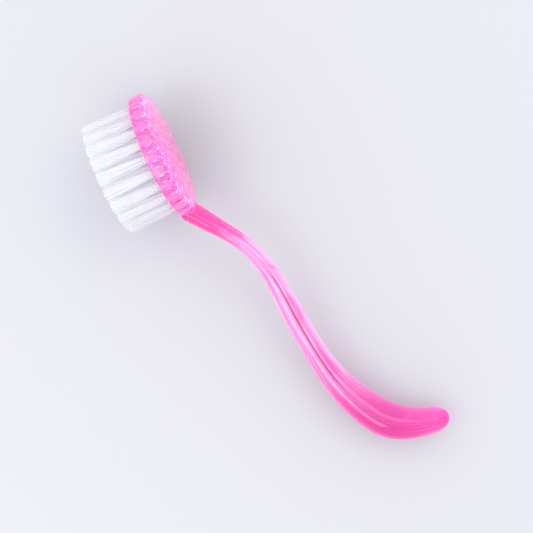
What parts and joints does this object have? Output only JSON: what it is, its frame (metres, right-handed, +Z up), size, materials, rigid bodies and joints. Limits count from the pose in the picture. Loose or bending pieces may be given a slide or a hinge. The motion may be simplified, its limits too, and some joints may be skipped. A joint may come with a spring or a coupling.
{
  "type": "nail brush",
  "caption": "Round-headed nail dust brush in clear pink plastic, with short white nylon tufts and a slender S-curved handle, lying on its side.",
  "frame": {"origin": "on the table plane, under the centre of the bounding box of the brush as it lies on its side", "axes": "+Z up from the table, +X along the brush from the head to the handle's tail, +Y the way the back of the head faces; the bristles point to -Y"},
  "size_m": [0.1259, 0.0658, 0.038],
  "materials": {
    "pink_clear_plastic": "clear tinted gloss",
    "nylon_bristle": "satin",
    "staple_wire": "drawn wire"
  },
  "bodies": {
    "root": {"centre_staples": "staple_wire", "centre_tufts": "nylon_bristle", "handle_and_head_moulding": "pink_clear_plastic", "inner_ring_staples": "staple_wire", "inner_ring_tufts": "nylon_bristle", "outer_ring_staples": "staple_wire", "outer_ring_tufts": "nylon_bristle", "second_ring_staples": "staple_wire", "second_ring_tufts": "nylon_bristle", "third_ring_staples": "staple_wire", "third_ring_tufts": "nylon_bristle"}
  },
  "joints": []
}
